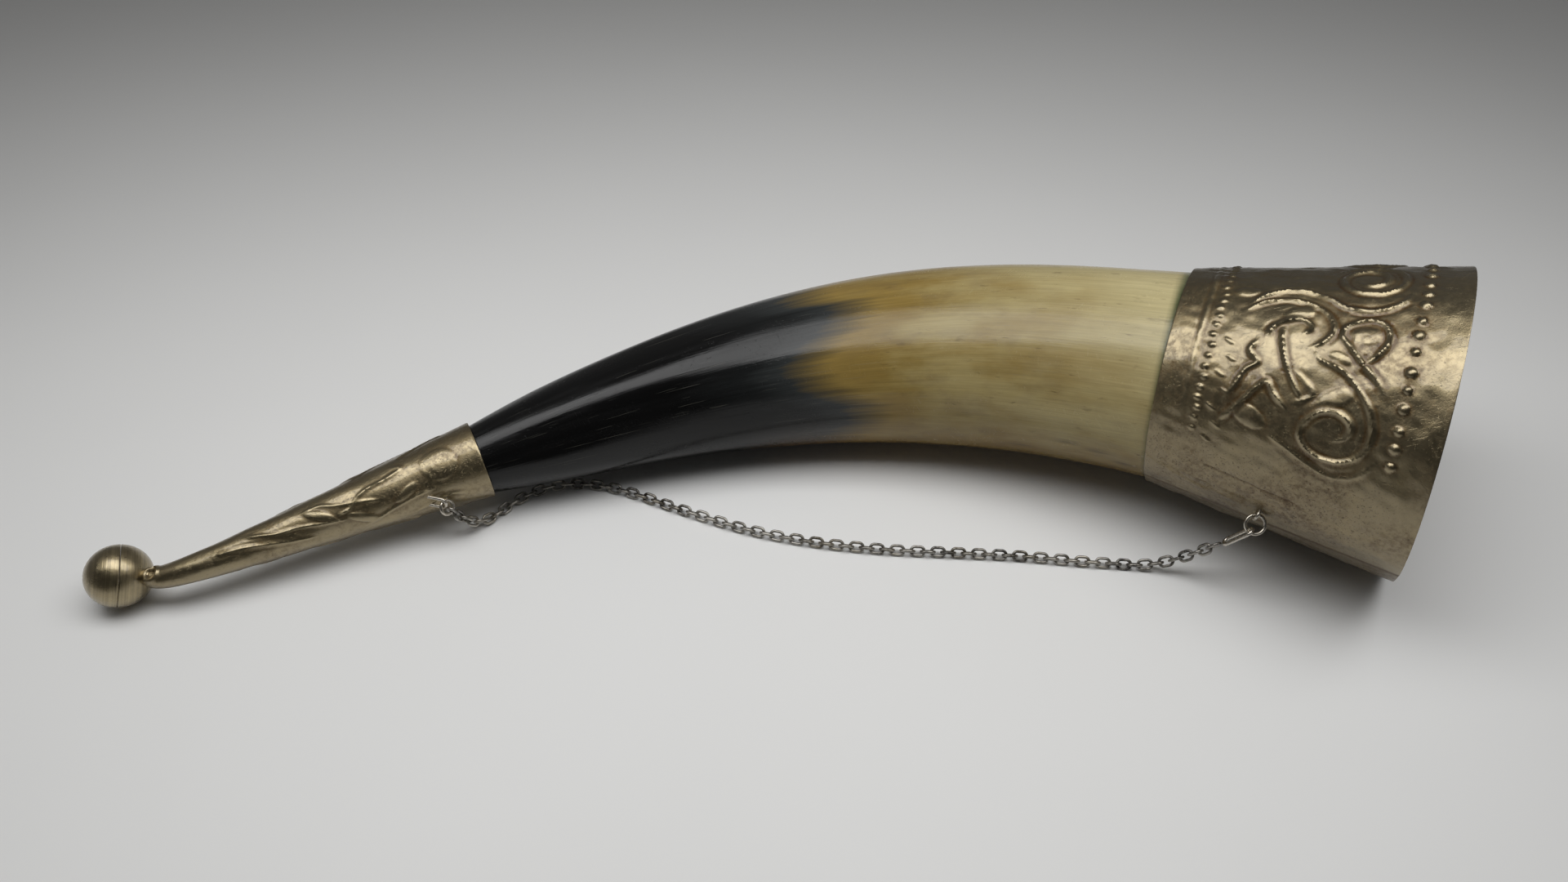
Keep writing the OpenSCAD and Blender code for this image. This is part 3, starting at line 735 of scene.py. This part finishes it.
def groups():
    """The shared node groups, built once."""
    if not GROUPS:
        GROUPS["fine scratches"] = scratches_group()
        GROUPS["worn metal"] = worn_metal_group(GROUPS["fine scratches"])
    return GROUPS


def finish_node(name, material):
    """Gives a CAD node that stays in view its material."""
    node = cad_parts[name]
    if not node.material_slots:
        node.data.materials.append(material)
    for place in node.material_slots:
        place.material = material


# ---- Settings ---------------------------------------------------------------------------


class HornLooks(bpy.types.PropertyGroup):
    """Colours and surface of the horn itself."""

    tip: bpy.props.FloatVectorProperty(
        name="Tip", description="Colour of the horn's black end",
        subtype="COLOR", default=(0.003, 0.003, 0.003))
    smoke: bpy.props.FloatVectorProperty(
        name="Smoke", description="Colour between black and honey",
        subtype="COLOR", default=(0.030, 0.033, 0.033))
    honey: bpy.props.FloatVectorProperty(
        name="Honey", description="Colour of the middle of the horn",
        subtype="COLOR", default=(0.245, 0.165, 0.045))
    cream: bpy.props.FloatVectorProperty(
        name="Cream", description="Colour of the horn near the collar",
        subtype="COLOR", default=(0.50, 0.43, 0.23))
    unevenness: bpy.props.FloatProperty(
        name="Unevenness", description="Depth of the shallow flutes along the horn",
        default=0.0003, unit="LENGTH", subtype="DISTANCE")


class HornMetal(bpy.types.PropertyGroup):
    """Colours and embossing of the collar, the sheath and the ball."""

    bright: bpy.props.FloatVectorProperty(
        name="Bright", description="Colour of rubbed metal",
        subtype="COLOR", default=(0.275, 0.226, 0.136))
    dark: bpy.props.FloatVectorProperty(
        name="Dark", description="Colour of tarnish in the hollows",
        subtype="COLOR", default=(0.095, 0.056, 0.022))
    line_height: bpy.props.FloatProperty(
        name="Line height", description="Height of the tallest raised lines",
        default=0.0007, unit="LENGTH", subtype="DISTANCE")
    line_width: bpy.props.FloatProperty(
        name="Line width", description="Half width of the widest raised lines",
        default=0.00062, unit="LENGTH", subtype="DISTANCE")


class HornStage(bpy.types.PropertyGroup):
    """Floor, light and camera."""

    floor: bpy.props.FloatVectorProperty(
        name="Floor", description="Colour of the floor",
        subtype="COLOR", default=(0.80, 0.80, 0.79))
    panel: bpy.props.FloatProperty(
        name="Panel", description="Power of the overhead light panel", default=1.12, unit="POWER")
    fill: bpy.props.FloatProperty(
        name="Fill", description="Power of the broad fill light", default=1.2, unit="POWER")
    ambient: bpy.props.FloatProperty(
        name="Ambient", description="Strength of the light from all round", default=0.13)
    lens: bpy.props.FloatProperty(
        name="Camera lens", description="Focal length of the camera", default=27.04, unit="CAMERA")
    distance: bpy.props.FloatProperty(
        name="Camera distance", description="Distance of the camera from its target",
        default=0.312, unit="LENGTH", subtype="DISTANCE")
    elevation: bpy.props.FloatProperty(
        name="Camera elevation", description="Angle of the camera above the horizon",
        default=math.radians(44.64), unit="ROTATION", subtype="ANGLE")


# ---- Operators --------------------------------------------------------------------------


class DRINKINGHORN_OT_horn(bpy.types.Operator):
    """Makes the horn, solid at the tip and hollow toward the mouth"""

    bl_idname = "drinking_horn.horn"
    bl_label = "Horn"

    def execute(self, context):
        looks = context.scene.horn_looks
        turn = np.linspace(0, 360, 168, endpoint=False)
        out_t = np.concatenate([np.linspace(TIP_IN_SHEATH, SHEATH_END - 0.004, 20),
                                np.linspace(SHEATH_END - 0.003, COLLAR_START, 230),
                                np.linspace(COLLAR_START + 0.002, HORN_END, 40)])
        in_t = HOLLOW_START + 0.004 + (HORN_END - HOLLOW_START - 0.004) * np.linspace(1, 0, 90) ** 1.4
        a = np.radians(turn)[None, :]
        bare = np.clip((out_t - SHEATH_END) / 0.05, 0, 1) * np.clip((COLLAR_START - out_t) / 0.03, 0, 1)
        along = spine_length(out_t)[:, None]
        flutes = 0.4 * np.sin(3 * a + 1.3 + along / 60) + 0.5 * np.sin(5 * a - along / 38) \
            + 0.35 * np.sin(2 * a + along / 15) \
            + 0.3 * np.sin(8 * a + along / 26 + 0.8 * np.sin(along / 21)) \
            + 0.12 * np.sin(13 * a - along / 17) \
            + 0.5 * np.sin(2 * a + 0.9) * np.sin(along / 11) * np.clip((165 - along) / 30, 0, 1)
        radius = horn_radius(out_t)[:, None] + looks.unevenness / MM * bare[:, None] * flutes
        outer = sections(out_t, radius, turn)
        inner = sections(in_t, hollow_radius(in_t), turn)
        points = np.vstack([outer.reshape(-1, 3), inner.reshape(-1, 3)])
        rows, cols = len(out_t) + len(in_t), len(turn)
        faces = grid_faces(rows, cols, True)
        faces += [list(range(cols)), [(rows - 1) * cols + k for k in range(cols)]]
        piece = add_piece("horn", points, faces, ["horn_shell"], horn_material(groups(), looks))
        self.colour(piece, np.concatenate([out_t, in_t]), turn, len(out_t))
        return {"FINISHED"}

    @staticmethod
    def colour(piece, t, turn, outer_rows):
        """Stores where each point lies along the fibres and against the black end's edge."""
        length = spine_length(t)[:, None] + 0 * turn[None]
        angle = turn[None] + 0 * length
        a = np.radians(angle)
        paint(piece, "fibre", np.stack([0.02 * np.cos(a), 0.02 * np.sin(a), length * MM], -1).reshape(-1, 3))

        def lobe(centre, width):
            return np.exp(-((((angle - centre + 180) % 360 - 180) / width) ** 2))
        edge_at = BLACK_END + sum(reach * lobe(at, wide) for reach, at, wide in BLACK_REACH)
        paint(piece, "shade", ((length - edge_at) / 60).ravel())
        rise = np.clip((length - 178) / 75, 0, 1) ** 1.4
        side = 0.12 + 0.95 * (0.5 + 0.5 * np.cos(np.radians(angle - 84))) ** 1.7
        paint(piece, "pale", (rise * side).ravel())
        under = lobe(205, 22) * np.clip((length - 205) / 35, 0, 1)
        paint(piece, "under", under.ravel())
        marks = sum(np.exp(-(((length - place) / 3.5) ** 2)) * lobe(at, wide)
                    for place, at, wide in DARK_MARKS)
        paint(piece, "marks", np.clip(marks, 0, 1).ravel())
        paint(piece, "belly", (lobe(228, 22) * np.clip((length - 140) / 15, 0, 1)).ravel())
        paint(piece, "edge", np.clip((length - 250.9) / 1.7, 0, 1).ravel())
        inside = np.zeros(length.shape)
        inside[outer_rows:] = 1
        paint(piece, "inside", inside.ravel())


class DRINKINGHORN_OT_collar(bpy.types.Operator):
    """Makes the embossed rim collar and the end of its sheet that laps below the seam"""

    bl_idname = "drinking_horn.collar"
    bl_label = "Rim collar"

    def execute(self, context):
        metal = context.scene.horn_metal
        material = metal_material("collar metal", groups(), metal.bright, metal.dark, relief=True)
        edge = [0, 0.06, 0.13, 0.22]
        body = np.linspace(0.5, COLLAR_LEN - 0.5, 148)
        back = np.concatenate([edge, body, COLLAR_LEN - np.array(edge[::-1])])
        wide = np.linspace(SEAM_ANGLE + 0.9, SEAM_ANGLE - LAP_ANGLE + 359.1, 600)
        turn = np.concatenate([SEAM_ANGLE + np.array(edge) / 0.55, wide,
                               SEAM_ANGLE - LAP_ANGLE + 360 - np.array(edge[::-1]) / 0.55])
        collar_piece("rim_collar_sheet", ["rim_collar"], turn, back, 0.0, COLLAR_T, material, True)
        lap_turn = np.linspace(SEAM_ANGLE - LAP_ANGLE, SEAM_ANGLE, 80)
        lap_back = np.concatenate([edge, np.linspace(0.5, COLLAR_LEN - 0.5, 90),
                                   COLLAR_LEN - np.array(edge[::-1])])
        collar_piece("collar_lap_sheet", ["collar_seam_lap"], lap_turn, lap_back, LAP_DROP, COLLAR_T,
                     material, False)
        return {"FINISHED"}


class DRINKINGHORN_OT_liner(bpy.types.Operator):
    """Makes the inner sleeve and lip in the mouth"""

    bl_idname = "drinking_horn.liner"
    bl_label = "Mouth liner"

    def execute(self, context):
        metal = context.scene.horn_metal
        material = metal_material("liner metal", groups(), metal.bright, metal.dark, 0.4, 0.26)
        bore = COLLAR_R2 - COLLAR_T - HORN_WALL - 0.9
        lip = COLLAR_R2 - COLLAR_T - 0.45
        depth, bend, thick = 9.0, 5.0, 0.6

        def sleeve(back):
            return bore - 1.1 * COLLAR_TAPER * back
        profile = [(-depth, sleeve(depth) - thick), (-bend, sleeve(bend) - thick)]
        profile += [(-1.0 + thick * math.sin(a), bore - 0.6 + thick * (1 - math.cos(a)))
                    for a in np.radians(np.linspace(0, 90, 9))]
        profile += [(-0.4, lip - 0.3), (-0.5, lip), (-1.6, lip), (-1.6, bore),
                    (-bend, sleeve(bend)), (-depth, sleeve(depth))]
        points, faces = turned(profile, MOUTH, MOUTH_DIR, 192)
        add_piece("mouth_sleeve", points, faces, ["mouth_liner"], material)
        return {"FINISHED"}


class DRINKINGHORN_OT_sheath(bpy.types.Operator):
    """Makes the embossed tip sheath with its pinched neck"""

    bl_idname = "drinking_horn.sheath"
    bl_label = "Tip sheath"

    def execute(self, context):
        metal = context.scene.horn_metal
        # The sheath's metal colour is painted brighter, a lit copy of the collar's.
        material = metal_material("sheath metal", groups(), painted_lighter(metal.bright, SHEATH_PAINTED_LIGHT), metal.dark,
                                  0.4, 0.31, relief=True)
        turn = np.linspace(0, 360, 170, endpoint=False)
        t = np.concatenate([np.linspace(-0.03, 0.02, 34), np.linspace(0.0215, SHEATH_END - 0.003, 205),
                            SHEATH_END - np.array([0.0018, 0.0009, 0])])
        length = (spine_length(t) + NECK_PACE * np.minimum(t, 0))[:, None] + 0 * turn[None]
        grid_turn = turn[None] + 0 * length
        sheet = Sheet(grid_turn, length, sheath_radius(t)[:, None] + 0 * length)
        self.emboss(sheet)
        dark, bright = sheet.crease_mask(wrap=True)
        whole = length[-1, 0]
        calm = np.clip((whole - length) / 7, 0.15, 1)
        uneven = 0.04 * calm * np.sin(3 * np.radians(grid_turn) + length / 5) * np.sin(length / 3.1 + 1) \
            + 0.03 * calm * np.sin(5 * np.radians(grid_turn) - length / 2.3)
        swing = np.radians((grid_turn - NOTCH_TURN + 180) % 360 - 180) * 2.4
        from_notch = np.hypot(swing, 1.3 * (length + 0.2))
        notch = np.exp(-((from_notch / 1.25) ** 4))
        lip = np.exp(-(((from_notch - 2.2) / 0.5) ** 2)) * (length > -0.8)
        outer_r = sheet.radius + sheet.height + uneven - 1.3 * notch + 0.3 * lip \
            - 0.12 * np.clip(1 - (whole - length) / 0.25, 0, 1) ** 2
        outer = sections(t, outer_r, turn)
        back = t[::-1]
        inner = sections(back, sheath_radius(back) - SHEATH_T - 1.2 * np.exp(-((back / 0.03) ** 2)), turn)
        points = np.vstack([outer.reshape(-1, 3), inner.reshape(-1, 3)])
        rows, cols = 2 * len(t), len(turn)
        faces = grid_faces(rows, cols, True)
        faces += [[(rows - 1) * cols + k, (rows - 1) * cols + (k + 1) % cols, (k + 1) % cols, k]
                  for k in range(cols)]
        piece = add_piece("tip_sheath_sheet", points, faces, ["tip_sheath"], material)
        blank = np.zeros(grid_turn.size)
        # The crease mask holds the tarnish in the hollows of the embossing, and painted shade in the neck's
        # pinched notch.
        paint(piece, "crease", np.concatenate([np.maximum(dark, notch).ravel(), blank]))
        paint(piece, "worn", np.concatenate([bright.ravel(), blank]))
        paint(piece, "pitted", np.concatenate([0.3 + 0 * dark.ravel(), blank]))
        return {"FINISHED"}

    @staticmethod
    def emboss(sheet):
        """Leaf lines that wind along the sheath, and a roll near the open end, three times round."""
        for step in (0, 120, 240):
            sheet.dome((SHEATH_ROLL[0] + step, SHEATH_ROLL[1]), (4.0, 4.0), 0.28, power=0.35)
            for points, height, width in SHEATH_LINES:
                sheet.line([(turn + step, along) for turn, along in points], height, width)
            for (turn, along), size, height, lean in SHEATH_LEAVES:
                sheet.dome((turn + step, along), size, height, lean)


class DRINKINGHORN_OT_finial(bpy.types.Operator):
    """Makes the ball's two cups, which meet at a fine groove, and its stem"""

    bl_idname = "drinking_horn.finial"
    bl_label = "Ball finial"

    def execute(self, context):
        material = turned_metal_material(groups(), context.scene.horn_metal)
        boxes = [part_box("finial_outer_cup"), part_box("finial_inner_cup")]
        low = np.min([b[0] for b in boxes], axis=0) / MM
        high = np.max([b[1] for b in boxes], axis=0) / MM
        centre, radius = (low + high) / 2, (high - low).max() / 2
        neck = spine(0)[0]
        axis = unit(centre - neck)
        cup_axis = unit(CUP_DIR)
        stem_r, wall = 1.5, 0.7
        for name, node, sign in (("ball_outer_cup", "finial_outer_cup", 1),
                                 ("ball_inner_cup", "finial_inner_cup", -1)):
            swing = np.radians(np.linspace(0.6, 88.9, 60))
            profile = [(sign * radius * math.cos(s), radius * math.sin(s)) for s in swing]
            profile += [(sign * 0.03, radius - 0.1), (sign * 0.02, radius - wall)]
            profile += [(sign * (radius - wall) * math.cos(s), (radius - wall) * math.sin(s))
                        for s in swing[::-6]]
            points, faces = turned(profile, centre, cup_axis, 144)
            piece = add_piece(name, points, faces, [node], material, crease=50)
            self.lathe(piece, points, centre, cup_axis)
        bead = [(-radius - 0.9 + 0.35 * math.cos(s), stem_r + 0.35 * math.sin(s))
                for s in np.radians(np.linspace(10, 170, 15))]
        profile = [(-radius + 3.9, 0.02), (-radius + 4, stem_r)] + bead
        profile += [(-radius - 2.2, stem_r), (-radius - 5, stem_r), (-radius - 5, 0.02)]
        points, faces = turned(profile, centre, axis, 64)
        piece = add_piece("ball_stem", points, faces, ["finial_stem"], material)
        self.lathe(piece, points, centre, axis)
        return {"FINISHED"}

    @staticmethod
    def lathe(piece, points, centre, axis):
        """Stores each point's place along the axis that the ball was turned on."""
        along = (points - centre) @ axis * MM
        paint(piece, "lathe", np.column_stack([along, 0 * along, 0 * along]))


class DRINKINGHORN_OT_chain(bpy.types.Operator):
    """Finishes the chain links, the rings and the staples, and the cement"""

    bl_idname = "drinking_horn.chain"
    bl_label = "Chain and rings"

    def execute(self, context):
        chain = metal_material("chain metal", groups(), (0.40, 0.38, 0.34), (0.05, 0.045, 0.04), 1.1, 0.3,
                               bump=0.00003)
        wire = metal_material("wire metal", groups(), (0.58, 0.54, 0.47), (0.12, 0.1, 0.075), 0.6, 0.24,
                              bump=0.00002)
        cement = cement_material()
        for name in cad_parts:
            if name.startswith("chain_run"):
                finish_node(name, chain)
        for name in ("tip_staple", "tip_ring", "collar_staple", "collar_ring", "collar_jump_link"):
            finish_node(name, wire)
        for name in ("collar_cement", "tip_cement"):
            finish_node(name, cement)
        return {"FINISHED"}


class DRINKINGHORN_OT_stage(bpy.types.Operator):
    """Adds a plain pale floor with a painted pool of light, an overhead light panel, soft light all round
    and the camera
    """

    bl_idname = "drinking_horn.stage"
    bl_label = "Stage"

    def execute(self, context):
        stage = context.scene.horn_stage
        mesh = bpy.data.meshes.new("floor")
        half = 3.0
        mesh.from_pydata([(-half, -half, 0), (half, -half, 0), (half, half, 0), (-half, half, 0)], [],
                         [(0, 1, 2, 3)])
        mesh.materials.append(floor_material(stage.floor))
        floor = bpy.data.objects.new("floor", mesh)
        floor.location.z = -0.0001
        context.scene.collection.objects.link(floor)
        low, high = CAD_BOX
        middle = (low + high) / 2
        self.lamp("overhead panel", (0.56, 0.19), stage.panel, (middle.x, middle.y - 0.01, 0.34))
        fill = self.lamp("broad fill", (2.0, 0.8), stage.fill, (middle.x - 0.2, middle.y, 0.8))
        fill.visible_glossy = False
        self.surroundings(context.scene, stage)
        data = bpy.data.cameras.new("camera")
        data.sensor_width, data.lens = 36.0, stage.lens
        camera = bpy.data.objects.new("camera", data)
        target = Vector((-0.0007, 0.0172, 0))
        back = Vector((0, -math.cos(stage.elevation), math.sin(stage.elevation)))
        camera.location = target + back * stage.distance
        camera.rotation_mode = "QUATERNION"
        camera.rotation_quaternion = (-back).to_track_quat("-Z", "Y")
        context.scene.collection.objects.link(camera)
        context.scene.camera = camera
        context.scene.view_settings.view_transform = "Standard"
        return {"FINISHED"}

    @staticmethod
    def lamp(name, size, power, place):
        """A rectangular light that faces down and that the camera doesn't see."""
        light = bpy.data.lights.new(name, "AREA")
        light.shape = "RECTANGLE"
        light.size, light.size_y = size
        light.energy = power
        lamp = bpy.data.objects.new(name, light)
        lamp.location = place
        lamp.visible_camera = False
        bpy.context.scene.collection.objects.link(lamp)
        return lamp

    @staticmethod
    def surroundings(scene, stage):
        """White walls at the sides and behind, and a darker room in front and above."""
        world = bpy.data.worlds.new("light tent")
        scene.world = world
        world.use_nodes = True
        n = Nodes(world.node_tree)
        way = n.add("ShaderNodeTexCoord").outputs["Generated"]
        front = n.add("ShaderNodeVectorMath", operation="DOT_PRODUCT")
        n.feed(front.inputs[0], way)
        front.inputs[1].default_value = (0, -0.62, 0.78)
        level = n.span(front.outputs["Value"], 0.2, 0.85, 1.0, 0.3)
        strength = n.math("MULTIPLY", level, stage.ambient)
        sky = world.node_tree.nodes["Background"]
        sky.inputs["Color"].default_value = (1.0, 0.985, 0.96, 1)
        n.feed(sky.inputs["Strength"], strength)


PIECES = (DRINKINGHORN_OT_horn, DRINKINGHORN_OT_collar, DRINKINGHORN_OT_liner, DRINKINGHORN_OT_sheath,
          DRINKINGHORN_OT_finial, DRINKINGHORN_OT_chain, DRINKINGHORN_OT_stage)


class DRINKINGHORN_PT_panel(bpy.types.Panel):
    """Lists the pieces of the horn, with their settings"""

    bl_label = "Drinking horn"
    bl_idname = "DRINKINGHORN_PT_panel"
    bl_space_type = "VIEW_3D"
    bl_region_type = "UI"
    bl_category = "Drinking horn"

    def draw(self, context):
        for piece in PIECES:
            self.layout.operator(piece.bl_idname)
        for settings in (context.scene.horn_looks, context.scene.horn_metal, context.scene.horn_stage):
            box = self.layout.box()
            for name in settings.__annotations__:
                box.prop(settings, name)


CLASSES = (HornLooks, HornMetal, HornStage, *PIECES, DRINKINGHORN_PT_panel)
SETTINGS = {"horn_looks": HornLooks, "horn_metal": HornMetal, "horn_stage": HornStage}


def register():
    for cls in CLASSES:
        bpy.utils.register_class(cls)
    for name, cls in SETTINGS.items():
        setattr(bpy.types.Scene, name, bpy.props.PointerProperty(type=cls))


def unregister():
    for name in SETTINGS:
        delattr(bpy.types.Scene, name)
    for cls in reversed(CLASSES):
        bpy.utils.unregister_class(cls)


def main():
    register()
    for piece in PIECES:
        area, name = piece.bl_idname.split(".")
        getattr(getattr(bpy.ops, area), name)()


if __name__ == "__main__":
    main()
